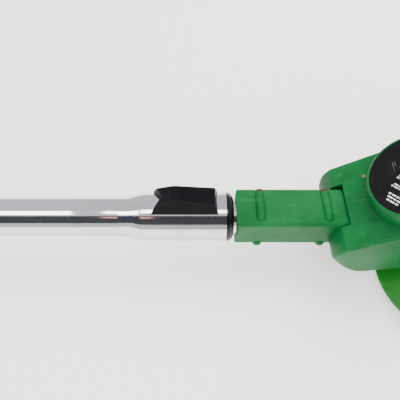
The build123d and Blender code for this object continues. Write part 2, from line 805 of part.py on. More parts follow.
# ------------------------------------------------------------------ blade on the motor shaft
flange_hub_r = 5.5
with BuildPart() as blade_flange:
    with BuildSketch(HEAD.offset(blade_n)):
        with Locations((motor_a, 0)):
            Circle(flange_r)
            Circle(shaft_r, mode=Mode.SUBTRACT)
    extrude(amount=2.5)
    with BuildSketch(HEAD.offset(blade_n)):
        with Locations((motor_a, 0)):
            Circle(flange_hub_r)
            Circle(shaft_r, mode=Mode.SUBTRACT)
    extrude(amount=blade_drop + 1)
pieces["blade_flange"] = blade_flange
with BuildPart() as cutting_blade:
    with BuildSketch(HEAD.offset(blade_n - blade_thickness)):
        with Locations((motor_a, 0)):
            RectangleRounded(blade_width, 2 * blade_reach, 4)
            Circle(shaft_r, mode=Mode.SUBTRACT)
            with Locations((0, 20), (0, -20)):
                SlotOverall(14, 5, rotation=90, mode=Mode.SUBTRACT)
        # swept cutting corners, one on each end of the blade
        for side in (1, -1):
            with BuildLine():
                Polyline(
                    (motor_a + side * (blade_width / 2 + 1), side * blade_reach * 0.62),
                    (motor_a + side * (blade_width / 2 + 1), side * (blade_reach + 1)),
                    (motor_a - side * 1, side * (blade_reach + 1)),
                    close=True,
                )
            make_face(mode=Mode.SUBTRACT)
    extrude(amount=blade_thickness)
pieces["cutting_blade"] = cutting_blade
with BuildPart() as blade_nut:
    with BuildSketch(HEAD.offset(blade_n - blade_thickness - nut_height)):
        with Locations((motor_a, 0)):
            RegularPolygon(4.6, 6)
            Circle(shaft_r, mode=Mode.SUBTRACT)
    extrude(amount=nut_height)
    chamfer(blade_nut.faces().sort_by(Axis(MOTOR.position, MOTOR.direction))[0].outer_wire().edges(), 0.5)
pieces["blade_nut"] = blade_nut

# ------------------------------------------------------------------ guard
guard_half = guard_flat + guard_corner


def guard_outline(inset):
    """Outline of the guard: straight rear edge, round rear corners, straight front edge."""
    radius = guard_corner - inset
    side_y = guard_flat + radius
    rear_a = motor_a - guard_rear + inset
    corner_a = motor_a - guard_rear + guard_corner
    front_a = motor_a + guard_front - inset
    with BuildSketch(HEAD.offset(guard_bottom)) as outline:
        with BuildLine():
            Polyline((corner_a, side_y), (front_a, side_y), (front_a, -side_y), (corner_a, -side_y))
            RadiusArc((corner_a, -side_y), (rear_a, -guard_flat), radius)
            Line((rear_a, -guard_flat), (rear_a, guard_flat))
            RadiusArc((rear_a, guard_flat), (corner_a, side_y), radius)
        make_face()
    return outline


outer_outline = guard_outline(0)
inner_outline = guard_outline(guard_lip_wall)
with BuildPart() as guard:
    # plate with a lip round its rear and sides, open at the front where the blade cuts
    extrude(outer_outline.sketch, amount=guard_lip + guard_thickness, dir=HEAD.z_dir)
    guard_edges = guard.edges().filter_by(
        lambda edge: abs(HEAD.to_local_coords(edge.center()).Z - guard_top) < 0.01
    )
    fillet(guard_edges, 1.2)
    extrude(inner_outline.sketch, amount=guard_lip, dir=HEAD.z_dir, mode=Mode.SUBTRACT)
    with BuildSketch(HEAD.offset(guard_bottom)):
        with Locations((motor_a + guard_front, 0)):
            Rectangle(16, 3 * guard_half)
    extrude(amount=guard_lip, mode=Mode.SUBTRACT)
    # stiffening ribs under the plate and a collar round the shaft hole
    with BuildSketch(HEAD.offset(guard_plate)):
        with Locations((motor_a, 0)):
            Circle(flange_r + 4)
            for turn in (-60, -25, 25, 60):
                with PolarLocations(0, 1, start_angle=180 + turn):
                    with Locations((26, 0)):
                        Rectangle(30, 1.6)
    extrude(amount=-2.0)
    with BuildSketch(HEAD.offset(guard_bottom)):
        with Locations((motor_a, 0)):
            Circle(flange_r + 1)
        with Locations(*guard_screw_points):
            Circle(screw_r + 0.1)
    extrude(amount=guard_lip + guard_thickness, mode=Mode.SUBTRACT)
pieces["guard"] = guard
with BuildPart() as guard_screws:
    with BuildSketch(HEAD.offset(guard_plate)):
        with Locations(*guard_screw_points):
            Circle(screw_r)
    extrude(amount=guard_screw_length - 0.5)
    with BuildSketch(HEAD.offset(guard_plate)):
        with Locations(*guard_screw_points):
            Circle(screw_head_r)
    extrude(amount=-screw_head)
    with BuildSketch(HEAD.offset(guard_plate - screw_head)):
        with Locations(*guard_screw_points):
            Rectangle(3.2, 0.6)
            Rectangle(0.6, 3.2)
    extrude(amount=screw_head * 0.5, mode=Mode.SUBTRACT)
pieces["guard_screws"] = guard_screws

# ------------------------------------------------------------------ handle shells
# stations along the grip: from the rear end, half width, top, bottom, corner radius
grip_sections = (
    (handle_length, 16.8, 18.0, -18.0, 14.0),
    (handle_length - 18.0, 18.6, 20.4, -20.4, 15.0),
    (handle_length - 60.0, 17.4, 19.8, -19.8, 13.0),
    (handle_length - 95.0, grip_half, 18.6, -17.4, 13.0),
    (block_front + 10.0, grip_half + 1.0, 20.0, -15.0, 10.0),
    (block_front - 6.0, grip_half + 3.0, block_top - 2.0, block_floor + 1.0, 8.0),
)


def grip_loft(inset, sections):
    """Rounded-rectangle loft through the grip's stations, drawn in by the inset."""
    with BuildPart() as loft_part:
        for station, half, top, bottom, corner in sections:
            with BuildSketch(across(rear_x + station)):
                with Locations((0, (top + bottom) / 2)):
                    RectangleRounded(2 * (half - inset), top - bottom - 2 * inset, corner - inset)
        loft()
    return loft_part


grip_solid = grip_loft(0, grip_sections)
grip_hollow = grip_loft(handle_wall, grip_sections)
slider_station = handle_length - 34.0
slider_floor = 17.2
trigger_half = 6.0
trigger_slot = (177.0, 213.0)
eye_station = 48.0
eye_r = 4.0
eye_wall = 4.5
eye_z = block_top + eye_r + 2.5
# station, height and reach to each side of the posts that the handle screws run in
handle_posts = (
    (handle_length - 12.0, 15.6, 4.0),
    (handle_length - 12.0, -15.6, 4.0),
    (handle_length - 112.0, 0.0, grip_half - 1.0),
    (block_rear + 10.0, block_top - 8.0, block_half - 1.0),
    (block_front - 30.0, block_top - 8.0, block_half - 1.0),
)
handle_screw_length = 22.0
handle_seat_y = 9.0
with BuildPart() as handle_body:
    add(grip_solid.part)
    # block that carries the battery
    with BuildSketch(level(block_floor)):
        with Locations((rear_x + (block_front + block_rear) / 2, 0)):
            Rectangle(block_front - block_rear, 2 * block_half)
        fillet(vertices().group_by(Axis.X)[-1], 20)
        fillet(vertices().group_by(Axis.X)[0], 9)
    extrude(amount=block_top - block_floor)
    block_rim = handle_body.edges().filter_by(lambda e: abs(e.center().Z - pole_z - block_top) < 0.01)
    fillet(block_rim, 8)
    # eye for a shoulder strap on top of the block
    with BuildSketch(leftward(SIDE, -eye_wall)):
        with Locations((rear_x + eye_station, -eye_z)):
            Circle(eye_r + 4.5)
        with Locations((rear_x + eye_station, -block_top + 1)):
            Rectangle(2 * eye_r + 14, 10)
    extrude(amount=2 * eye_wall)
    # space inside the grip and the block
    with BuildSketch(level(rail_height + block_floor + handle_wall)):
        with Locations((rear_x + (block_front + block_rear) / 2, 0)):
            RectangleRounded(block_front - block_rear - 2 * handle_wall, 2 * (block_half - handle_wall), 6)
    extrude(amount=block_top - rail_height - block_floor - 2 * handle_wall, mode=Mode.SUBTRACT)
    add(grip_hollow.part, mode=Mode.SUBTRACT)
    # screw posts across the hollow
    for station, height, reach in handle_posts:
        with BuildSketch(SIDE):
            with Locations((rear_x + station, height)):
                Circle(handle_post_r)
        extrude(amount=reach, both=True)
    # seat for the pole, trigger slot, slider recess
    with BuildSketch(across(tube_rear_x)):
        Circle(pole_r + running_clearance / 2)
    extrude(amount=tube_seat, mode=Mode.SUBTRACT)
    with BuildSketch(level(-2.5 * grip_half)):
        with Locations((rear_x + sum(trigger_slot) / 2, 0)):
            Rectangle(trigger_slot[1] - trigger_slot[0], 2 * (trigger_half + part_gap))
    extrude(amount=2.5 * grip_half - 8, mode=Mode.SUBTRACT)
    with BuildSketch(level(slider_floor)):
        with Locations((rear_x + slider_station, 0)):
            RectangleRounded(slider_length + slider_travel + 1.0, 2 * slider_half + 0.8, 3)
    extrude(amount=8, mode=Mode.SUBTRACT)
    with BuildSketch(level(slider_floor - 5)):
        with Locations((rear_x + slider_station, 0)):
            Rectangle(8 + slider_travel + 1.0, 5.6)
    extrude(amount=8, mode=Mode.SUBTRACT)
    # T slot that the battery slides into, open to the rear
    with BuildSketch(across(rear_x)):
        with Locations((0, block_floor + rail_lip / 2)):
            Rectangle(2 * rail_neck, rail_lip)
        with Locations((0, block_floor + (rail_lip + rail_height) / 2)):
            Rectangle(2 * rail_head, rail_height - rail_lip)
    extrude(amount=battery_length + 1.0, mode=Mode.SUBTRACT)
    # eye bore, screw holes and head seats
    with BuildSketch(leftward(SIDE, -eye_wall)):
        with Locations((rear_x + eye_station, -eye_z)):
            Circle(eye_r)
    extrude(amount=2 * eye_wall, mode=Mode.SUBTRACT)
    for station, height, _ in handle_posts:
        with BuildSketch(leftward(SIDE, handle_seat_y - handle_screw_length)):
            with Locations((rear_x + station, -height)):
                Circle(screw_r)
        extrude(amount=handle_screw_length, mode=Mode.SUBTRACT)
        with BuildSketch(leftward(SIDE, handle_seat_y)):
            with Locations((rear_x + station, -height)):
                Circle(screw_head_r + 0.4)
        extrude(amount=block_half, mode=Mode.SUBTRACT)
for name, keep in (("handle_left_shell", Keep.BOTTOM), ("handle_right_shell", Keep.TOP)):
    with BuildPart() as half:
        add(handle_body.part)
        split(bisect_by=Plane.XZ, keep=keep)
    pieces[name] = half

FROM_LEFT = Plane(origin=SIDE.origin + Vector(0, handle_seat_y, 0), x_dir=(1, 0, 0), z_dir=(0, -1, 0))
handle_points = [(rear_x + station, height) for station, height, _ in handle_posts]
pieces["handle_screws"] = screws(FROM_LEFT, handle_points, handle_screw_length)

# soft pad over the back of the grip
pad_sections = grip_sections[1:5]
pad_outside = grip_loft(-pad_proud, pad_sections)
with BuildPart() as grip_pad:
    add(pad_outside.part)
    add(grip_solid.part, mode=Mode.SUBTRACT)
    with BuildSketch(SIDE):
        with BuildLine():
            Polyline(
                (rear_x + 124, -2.0),
                (rear_x + 172, -6.0),
                (rear_x + slider_station - 19, 6.0),
                (rear_x + slider_station - 19, 30.0),
                (rear_x + 124, 30.0),
                close=True,
            )
        make_face()
    extrude(amount=block_half, both=True, mode=Mode.INTERSECT)
pieces["grip_pad"] = grip_pad

# ------------------------------------------------------------------ trigger and switch
trigger_pivot = (rear_x + 208.0, -12.5)
trigger_pin_r = 1.5
TRIGGER_SIDE = Plane(origin=SIDE.origin + Vector(0, trigger_half, 0), x_dir=(1, 0, 0), z_dir=(0, -1, 0))
with BuildPart() as trigger:
    with BuildSketch(TRIGGER_SIDE):
        with BuildLine():
            Polyline(
                (rear_x + 186, -10.0),
                (rear_x + 211, -10.0),
                (rear_x + 211, -20.0),
                (rear_x + 206, -23.5),
            )
            ThreePointArc((rear_x + 206, -23.5), (rear_x + 194.5, -25.4), (rear_x + 184, -33.0))
            Polyline(
                (rear_x + 184, -33.0),
                (rear_x + 180, -32.0),
                (rear_x + 180, -12.0),
                (rear_x + 186, -10.0),
            )
        make_face()
    extrude(amount=2 * trigger_half)
    finger_edges = trigger.edges().filter_by(
        lambda edge: edge.center().Z < pole_z - 21 and abs(edge.center().Y) > trigger_half - 0.1
    )
    fillet(finger_edges, 0.8)
    with BuildSketch(TRIGGER_SIDE):
        with Locations(trigger_pivot):
            Circle(trigger_pin_r + running_clearance)
    extrude(amount=2 * trigger_half, mode=Mode.SUBTRACT)
pieces["trigger"] = trigger
with BuildPart() as trigger_pin:
    with BuildSketch(SIDE):
        with Locations(trigger_pivot):
            Circle(trigger_pin_r)
    extrude(amount=trigger_half + 6.0, both=True)
pieces["trigger_pin"] = trigger_pin
switch_floor = -3.5
pieces["trigger_spring"] = coil_spring(
    Plane(origin=(rear_x + 191.0, 0, pole_z - 9.6)), 2.2, 0.35, 4, switch_floor + 9.2
)
with BuildPart() as trigger_switch:
    with BuildSketch(level(switch_floor)):
        with Locations((rear_x + 181.0, 0)):
            RectangleRounded(25, 12, 1)
    extrude(amount=11)
    for lug in (-6, 0, 6):
        with BuildSketch(level(switch_floor + 11)):
            with Locations((rear_x + 181.0 + lug, 0)):
                Rectangle(3, 0.8)
        extrude(amount=3.0)
pieces["trigger_switch"] = trigger_switch
with BuildPart() as lock_off_slider:
    with BuildSketch(level(slider_floor + part_gap)):
        with Locations((rear_x + slider_station - slider_travel / 2, 0)):
            RectangleRounded(slider_length, 2 * slider_half, 2.6)
    extrude(amount=4.6)
    fillet(lock_off_slider.faces().sort_by(Axis.Z)[-1].edges(), 1.0)
    for rib in (-5, -2.5, 0, 2.5, 5):
        with BuildSketch(level(slider_floor + part_gap + 3.9)):
            with Locations((rear_x + slider_station - slider_travel / 2 + rib, 0)):
                Rectangle(0.9, 2 * slider_half - 3)
        extrude(amount=1, mode=Mode.SUBTRACT)
    with BuildSketch(level(slider_floor - 4)):
        with Locations((rear_x + slider_station - slider_travel / 2, 0)):
            Rectangle(8, 5)
    extrude(amount=5)
pieces["lock_off_slider"] = lock_off_slider
with BuildPart() as controller_board:
    with BuildSketch(level(9.2)):
        with Locations((rear_x + 56, 0)):
            Rectangle(34, 30)
    extrude(amount=1.6)
    with BuildSketch(level(5.4)):
        with Locations((rear_x + 48, 6), (rear_x + 64, -6)):
            Rectangle(9, 11)
    extrude(amount=3.8)
pieces["controller_board"] = controller_board
contact_length = 14.0
with BuildPart() as battery_contacts:
    with BuildSketch(level(rail_height + block_floor - 3.4)):
        with Locations(*[(rear_x + 96, side) for side in (-12, 12)]):
            Rectangle(contact_length, 0.8)
    extrude(amount=3.4)
pieces["battery_contacts"] = battery_contacts

# ------------------------------------------------------------------ battery
battery_bottom = -pole_z
battery_split = battery_bottom + battery_wall + cell_r + 2.0
latch_half = 9.0
battery_corner = 7.0
with BuildPart() as battery_case:
    with BuildSketch(level(battery_bottom)):
        with Locations((rear_x + battery_length / 2, 0)):
            RectangleRounded(battery_length, 2 * battery_half, battery_corner)
    extrude(amount=battery_top - battery_bottom)
    fillet(battery_case.faces().sort_by(Axis.Z)[0].edges(), 2.5)
    fillet(battery_case.faces().sort_by(Axis.Z)[-1].edges(), 1.5)
    # T rail along the top
    with BuildSketch(across(rear_x + block_rear + 2)):
        with Locations((0, battery_top + (rail_lip + 0.6) / 2)):
            Rectangle(2 * (rail_neck - part_gap), rail_lip + 0.6)
        with Locations((0, block_floor + rail_lip + part_gap + 1.4)):
            Rectangle(2 * (rail_head - part_gap), 2.8)
    extrude(amount=battery_length - block_rear - 3)
    # slots that the contacts slide into, and the well of the latch
    with BuildSketch(level(battery_top + 1.0)):
        with Locations(*[(rear_x + battery_length - 11, side) for side in (-12, 12)]):
            Rectangle(26, 2.0)
    extrude(amount=10, mode=Mode.SUBTRACT)
    with BuildSketch(level(battery_top - 7)):
        with Locations((rear_x + 6.5, 0)):
            Rectangle(9.0, 2 * latch_half + 0.6)
    extrude(amount=10, mode=Mode.SUBTRACT)
    with BuildSketch(level(battery_bottom + battery_wall)):
        with Locations((rear_x + battery_length / 2, 0)):
            RectangleRounded(
                battery_length - 2 * battery_wall,
                2 * (battery_half - battery_wall),
                battery_corner - battery_wall,
            )
    extrude(amount=2 * cell_r + 1.0, mode=Mode.SUBTRACT)
    board_level = battery_bottom + battery_wall + 2 * cell_r + 1.0
    with BuildSketch(level(board_level)):
        with Locations((rear_x + battery_length / 2 + 6, 0)):
            RectangleRounded(
                battery_length - 2 * battery_wall - 12,
                2 * (battery_half - battery_wall),
                battery_corner - battery_wall,
            )
    extrude(amount=battery_top - battery_wall - board_level, mode=Mode.SUBTRACT)
for name, keep in (("battery_upper_case", Keep.TOP), ("battery_lower_case", Keep.BOTTOM)):
    with BuildPart() as half:
        add(battery_case.part)
        split(bisect_by=level(battery_split), keep=keep)
    pieces[name] = half
cell_pitch = (battery_length - 2 * battery_wall - 2.0) / cell_count
with BuildPart() as battery_cells:
    with BuildSketch(leftward(SIDE, -cell_length / 2)):
        for cell in range(cell_count):
            cell_x = rear_x + battery_length / 2 + (cell - (cell_count - 1) / 2) * cell_pitch
            with Locations((cell_x, -battery_bottom - battery_wall - cell_r - 0.5)):
                Circle(cell_r)
    extrude(amount=cell_length)
pieces["battery_cells"] = battery_cells
with BuildPart() as battery_board:
    with BuildSketch(level(board_level + 2.0)):
        with Locations((rear_x + battery_length / 2 + 6, 0)):
            Rectangle(60, 44)
    extrude(amount=1.6)
    with BuildSketch(level(board_level + 3.6)):
        with Locations((rear_x + 70, 8), (rear_x + 50, -8), (rear_x + 80, -10)):
            Rectangle(8, 10)
    extrude(amount=2.5)
pieces["battery_board"] = battery_board
with BuildPart() as battery_latch:
    with BuildSketch(level(battery_top - 3.5)):
        with Locations((rear_x + 6.3, 0)):
            RectangleRounded(8.0, 2 * latch_half, 1.2)
    extrude(amount=5.0)
    fillet(battery_latch.faces().sort_by(Axis.Z)[-1].edges(), 0.7)
    for rib in (-2, 0, 2):
        with BuildSketch(level(battery_top + 1.0)):
            with Locations((rear_x + 6.3 + rib, 0)):
                Rectangle(0.8, 2 * latch_half - 3)
        extrude(amount=2, mode=Mode.SUBTRACT)
pieces["battery_latch"] = battery_latch
pieces["battery_latch_spring"] = coil_spring(
    Plane(origin=(rear_x + 6.3, 0, pole_z + battery_top - 6.6)), 2.0, 0.3, 4, 2.7
)

# ------------------------------------------------------------------ support handle
loop_x = rear_x + loop_station
clamp_r = pole_r + clamp_wall
lug_half = 11.0
lug_bore = bolt_r + running_clearance
loop_foot_y = lug_half + part_gap + cheek / 2
clamp_bolt_y = clamp_r + 1.5
with BuildPart() as clamp_body:
    with BuildSketch(across(loop_x - clamp_length / 2)):
        Circle(clamp_r)
        Rectangle(2 * clamp_bolt_y + 9, 12)
    extrude(amount=clamp_length)
    with BuildSketch(leftward(SIDE, -lug_half)):
        with Locations((loop_x, -loop_pivot)):
            Circle(9.0)
        with Locations((loop_x, -loop_pivot / 2 - 5)):
            Rectangle(18, loop_pivot - 10)
    extrude(amount=2 * lug_half)
    with BuildSketch(across(loop_x - clamp_length / 2)):
        Circle(pole_r + running_clearance / 2)
        with Locations((-clamp_bolt_y - 4, 0), (clamp_bolt_y + 4, 0)):
            Rectangle(9, 0.8)
    extrude(amount=clamp_length, mode=Mode.SUBTRACT)
    with BuildSketch(leftward(SIDE, -lug_half)):
        with Locations((loop_x, -loop_pivot)):
            Circle(lug_bore)
    extrude(amount=2 * lug_half, mode=Mode.SUBTRACT)
    clamp_points = [(loop_x + dx, side * clamp_bolt_y) for dx in (-8, 8) for side in (1, -1)]
    with BuildSketch(level(-6)):
        with Locations(*clamp_points):
            Circle(screw_r)
    extrude(amount=12, mode=Mode.SUBTRACT)
for name, keep in (("clamp_upper_half", Keep.TOP), ("clamp_lower_half", Keep.BOTTOM)):
    with BuildPart() as half:
        add(clamp_body.part)
        split(bisect_by=level(0), keep=keep)
    pieces[name] = half
FROM_BELOW = Plane(origin=(0, 0, pole_z - 6), x_dir=(1, 0, 0), z_dir=(0, 0, 1))
pieces["clamp_screws"] = screws(FROM_BELOW, clamp_points, 11.5)

crossbar_z = pole_z + loop_pivot + loop_height
with BuildPart() as support_loop:
    # D-shaped grip bar in the plane square to the pole, with two flat feet on the clamp's lug
    with BuildLine(across(loop_x)):
        FilletPolyline(
            (-loop_foot_y, loop_pivot + 4),
            (-loop_foot_y, loop_pivot + 20),
            (-loop_half, loop_pivot + 40),
            (-loop_half, loop_pivot + loop_height),
            (loop_half, loop_pivot + loop_height),
            (loop_half, loop_pivot + 40),
            (loop_foot_y, loop_pivot + 20),
            (loop_foot_y, loop_pivot + 4),
            radius=(9, 14, 24, 24, 14, 9),
        )
    with BuildSketch(Plane(origin=(loop_x, -loop_foot_y, pole_z + loop_pivot + 4), z_dir=(0, 0, 1))):
        Circle(loop_bar_r)
    sweep()
    # feet: round cheeks against the lug, bored for the bolt
    for side in (1, -1):
        cheek_y = lug_half + part_gap if side > 0 else -lug_half - part_gap - cheek
        with BuildSketch(leftward(SIDE, cheek_y)):
            with Locations((loop_x, -loop_pivot)):
                Circle(9.0)
        extrude(amount=cheek)
    with BuildSketch(leftward(SIDE, -2 * loop_foot_y)):
        with Locations((loop_x, -loop_pivot)):
            Circle(bolt_r + running_clearance)
    extrude(amount=4 * loop_foot_y, mode=Mode.SUBTRACT)
pieces["support_loop"] = support_loop
with BuildPart() as loop_sleeve:
    with BuildSketch(Plane(origin=(loop_x, -sleeve_half, crossbar_z), z_dir=(0, 1, 0))):
        Circle(sleeve_r)
        Circle(loop_bar_r, mode=Mode.SUBTRACT)
    extrude(amount=2 * sleeve_half)
    fillet(loop_sleeve.edges().filter_by(GeomType.CIRCLE).group_by(SortBy.RADIUS)[-1], 2.0)
    for ring in range(9):
        ring_y = (ring - 4) * sleeve_half * 0.2
        with BuildSketch(Plane(origin=(loop_x, ring_y - 0.6, crossbar_z), z_dir=(0, 1, 0))):
            Circle(sleeve_r + 1)
            Circle(sleeve_r - 0.7, mode=Mode.SUBTRACT)
        extrude(amount=1.2, mode=Mode.SUBTRACT)
pieces["loop_sleeve"] = loop_sleeve
bolt_head_y = -lug_half - part_gap - cheek
knob_y = lug_half + part_gap + cheek + part_gap
with BuildPart() as clamp_bolt:
    with BuildSketch(leftward(SIDE, bolt_head_y)):
        with Locations((loop_x, -loop_pivot)):
            Circle(bolt_r)
    extrude(amount=knob_y - bolt_head_y + 9)
    with BuildSketch(leftward(SIDE, bolt_head_y - part_gap - 3.5)):
        with Locations((loop_x, -loop_pivot)):
            RegularPolygon(5.8, 6)
    extrude(amount=3.5)
    with BuildSketch(leftward(SIDE, bolt_head_y - part_gap - 0.5)):
        with Locations((loop_x, -loop_pivot)):
            Circle(bolt_r)
    extrude(amount=2.0)
pieces["clamp_bolt"] = clamp_bolt
with BuildPart() as clamp_knob:
    with BuildSketch(leftward(SIDE, knob_y)):
        with Locations((loop_x, -loop_pivot)):
            Circle(knob_r)
            with PolarLocations(knob_r + 1.6, 8):
                Circle(3.2, mode=Mode.SUBTRACT)
    extrude(amount=11)
    fillet(clamp_knob.faces().sort_by(Axis.Y)[-1].edges(), 1.0)
    with BuildSketch(leftward(SIDE, knob_y)):
        with Locations((loop_x, -loop_pivot)):
            Circle(bolt_r + running_clearance)
    extrude(amount=9.5, mode=Mode.SUBTRACT)
pieces["clamp_knob"] = clamp_knob

for name, piece in pieces.items():
    piece.part.label = name
    export_step(piece.part, f"parts/{name}.step")
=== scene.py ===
import json
from math import cos, pi, radians, sin

import bmesh
import bpy
from mathutils import Matrix, Vector

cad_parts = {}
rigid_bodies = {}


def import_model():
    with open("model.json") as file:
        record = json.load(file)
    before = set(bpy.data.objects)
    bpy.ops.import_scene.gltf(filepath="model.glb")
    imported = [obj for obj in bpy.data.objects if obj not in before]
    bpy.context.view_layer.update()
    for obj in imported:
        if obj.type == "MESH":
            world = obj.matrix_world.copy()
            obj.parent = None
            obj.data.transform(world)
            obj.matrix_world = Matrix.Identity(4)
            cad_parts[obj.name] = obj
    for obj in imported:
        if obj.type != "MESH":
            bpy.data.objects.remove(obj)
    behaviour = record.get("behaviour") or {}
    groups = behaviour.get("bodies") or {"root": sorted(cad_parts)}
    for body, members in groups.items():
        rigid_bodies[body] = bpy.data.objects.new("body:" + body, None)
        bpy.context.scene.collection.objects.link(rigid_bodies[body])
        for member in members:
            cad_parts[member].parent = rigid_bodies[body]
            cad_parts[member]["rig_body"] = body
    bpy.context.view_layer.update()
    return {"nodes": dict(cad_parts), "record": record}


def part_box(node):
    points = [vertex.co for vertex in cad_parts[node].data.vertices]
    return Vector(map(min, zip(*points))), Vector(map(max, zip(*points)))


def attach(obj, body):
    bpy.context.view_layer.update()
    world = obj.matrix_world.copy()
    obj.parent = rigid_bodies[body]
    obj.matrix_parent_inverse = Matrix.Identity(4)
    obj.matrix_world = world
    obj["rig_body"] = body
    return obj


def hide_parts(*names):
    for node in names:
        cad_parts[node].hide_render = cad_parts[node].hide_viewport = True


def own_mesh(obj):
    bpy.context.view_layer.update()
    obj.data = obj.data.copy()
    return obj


# Finishes, small added pieces, floor, light and camera for a cordless grass trimmer.
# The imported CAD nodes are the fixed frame. Metres: +X along the pole to the head, +Y left, +Z up.

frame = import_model()
MM = 0.001


def middle(node):
    """Middle of the box round a CAD node."""
    low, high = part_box(node)
    return (low + high) / 2


# ------------------------------------------------------------------ places taken from the frame
POLE_Z = middle("outer_tube").z
HINGE = middle("hinge_pin")
HINGE.y = 0.0
TILT = radians(36.0)          # the head rests nose-up by this much
HEAD_ALONG = Vector((cos(TILT), 0, sin(TILT)))
HEAD_UP = Vector((-sin(TILT), 0, cos(TILT)))
TUBE_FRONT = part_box("outer_tube")[1].x
CONNECTOR_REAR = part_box("connector_south_shell")[0].x


# ------------------------------------------------------------------ shader maths
def tone(red, green, blue):
    """Linear colour from display values of 0 to 255."""
    shares = [value / 255 for value in (red, green, blue)]
    return tuple(s / 12.92 if s <= 0.04045 else ((s + 0.055) / 1.055) ** 2.4 for s in shares) + (1.0,)


class Value:
    """A number that varies over a surface; arithmetic on it adds Math nodes."""

    def __init__(self, finish, socket):
        self.finish = finish
        self.socket = socket

    def math(self, operation, *values):
        """Result of one Math node fed with the values."""
        made = self.finish.node("ShaderNodeMath", {"operation": operation}, dict(enumerate(values)))
        return Value(self.finish, made.outputs[0])

    def __add__(self, other):
        return self.math("ADD", self, other)

    __radd__ = __add__

    def __mul__(self, other):
        return self.math("MULTIPLY", self, other)

    def __rsub__(self, other):
        return self.math("SUBTRACT", other, self)

    def __abs__(self):
        return self.math("ABSOLUTE", self)

    def ramp(self, low, high):
        """0 at low, 1 at high and smooth between them, whichever is larger."""
        if low > high:
            return 1 - self.ramp(high, low)
        made = self.finish.node(
            "ShaderNodeMapRange",
            {"interpolation_type": "SMOOTHSTEP"},
            {"Value": self, "From Min": low, "From Max": high},
        )
        return Value(self.finish, made.outputs["Result"])


class Finish:
    """One procedural material: a Principled shader and the nodes that feed it."""

    def __init__(self, name, **constants):
        self.material = bpy.data.materials.new(name)
        self.material.use_nodes = True
        self.tree = self.material.node_tree
        self.shader = self.tree.nodes["Principled BSDF"]
        for socket, value in constants.items():
            self.shader.inputs[socket.replace("_", " ")].default_value = value
        self.place = self.node("ShaderNodeTexCoord").outputs["Object"]

    def node(self, kind, settings=None, values=None):
        """Adds a node: its settings first, then the values or links of its sockets."""
        made = self.tree.nodes.new(kind)
        for name, value in (settings or {}).items():
            setattr(made, name, value)
        for name, value in (values or {}).items():
            socket = made.inputs[name]
            if isinstance(value, Value):
                self.tree.links.new(value.socket, socket)
            elif isinstance(value, bpy.types.NodeSocket):
                self.tree.links.new(value, socket)
            else:
                socket.default_value = value
        return made

    def feed(self, socket, source):
        """Links a value or a colour to a socket of the shader."""
        self.tree.links.new(getattr(source, "socket", source), self.shader.inputs[socket])

    def mix(self, factor, first, second):
        """Colour that goes from first to second with the factor."""
        made = self.node("ShaderNodeMix", {"data_type": "RGBA"})
        for socket, value in ((made.inputs[0], factor), (made.inputs[6], first), (made.inputs[7], second)):
            if isinstance(value, (Value, bpy.types.NodeSocket)):
                self.tree.links.new(getattr(value, "socket", value), socket)
            else:
                socket.default_value = value
        return made.outputs[2]

    def axis(self, direction, origin=(0, 0, 0)):
        """Distance from the origin along a direction, in metres."""
        offset = self.node(
            "ShaderNodeVectorMath", {"operation": "SUBTRACT"}, {0: self.place, 1: tuple(origin)}
        )
        made = self.node(
            "ShaderNodeVectorMath",
            {"operation": "DOT_PRODUCT"},
            {0: offset.outputs[0], 1: tuple(direction)},
        )
        return Value(self, made.outputs["Value"])

    def reach(self, point):
        """Distance from a point, in metres."""
        made = self.node(
            "ShaderNodeVectorMath", {"operation": "DISTANCE"}, {0: self.place, 1: tuple(point)}
        )
        return Value(self, made.outputs["Value"])

    def noise(self, size, detail=4.0, stretch=(1, 1, 1), roughness=0.55):
        """Noise with lumps of about that size, in metres."""
        scaled = self.node(
            "ShaderNodeVectorMath", {"operation": "MULTIPLY"}, {0: self.place, 1: stretch}
        )
        made = self.node(
            "ShaderNodeTexNoise",
            None,
            {"Vector": scaled.outputs[0], "Scale": 1 / size, "Detail": detail, "Roughness": roughness},
        )
        return Value(self, made.outputs["Fac"])

    def grain(self, height, depth, strength):
        """Raises the surface by the height, which runs from 0 to 1, times depth."""
        made = self.node(
            "ShaderNodeBump", None, {"Height": height, "Distance": depth, "Strength": strength}
        )
        self.feed("Normal", made.outputs["Normal"])

    def edge_wear(self, width=0.6 * MM):
        """1 on sharp edges, where a rounded normal leans away from the face's, and 0 elsewhere."""
        bevel = self.node("ShaderNodeBevel", {"samples": 4}, {"Radius": width})
        normal = self.node("ShaderNodeNewGeometry").outputs["Normal"]
        made = self.node(
            "ShaderNodeVectorMath",
            {"operation": "DOT_PRODUCT"},
            {0: bevel.outputs[0], 1: normal},
        )
        return Value(self, made.outputs["Value"]).ramp(0.985, 0.9)


# ------------------------------------------------------------------ finishes
# a dab of dried soil on the left of the head, ahead of the hinge and above it
SOIL_DAB = HINGE + HEAD_ALONG * (10.5 * MM) + Vector((0, 15.5 * MM, 0)) + HEAD_UP * (20.4 * MM)
# the casing's seam fades in ahead of the connector's rear, and the chrome carries a painted warm
# reflection near its front
SEAM_START = CONNECTOR_REAR + 42 * MM
SEAM_FULL = CONNECTOR_REAR + 52 * MM
REFLECTION_TINT_START = TUBE_FRONT - 62 * MM
REFLECTION_TINT_FULL = TUBE_FRONT - 44 * MM
GREEN = tone(6, 94, 44)
GREEN_DEEP = tone(2, 80, 32)
GREEN_DUSTY = tone(62, 128, 78)
SOIL = tone(126, 112, 76)


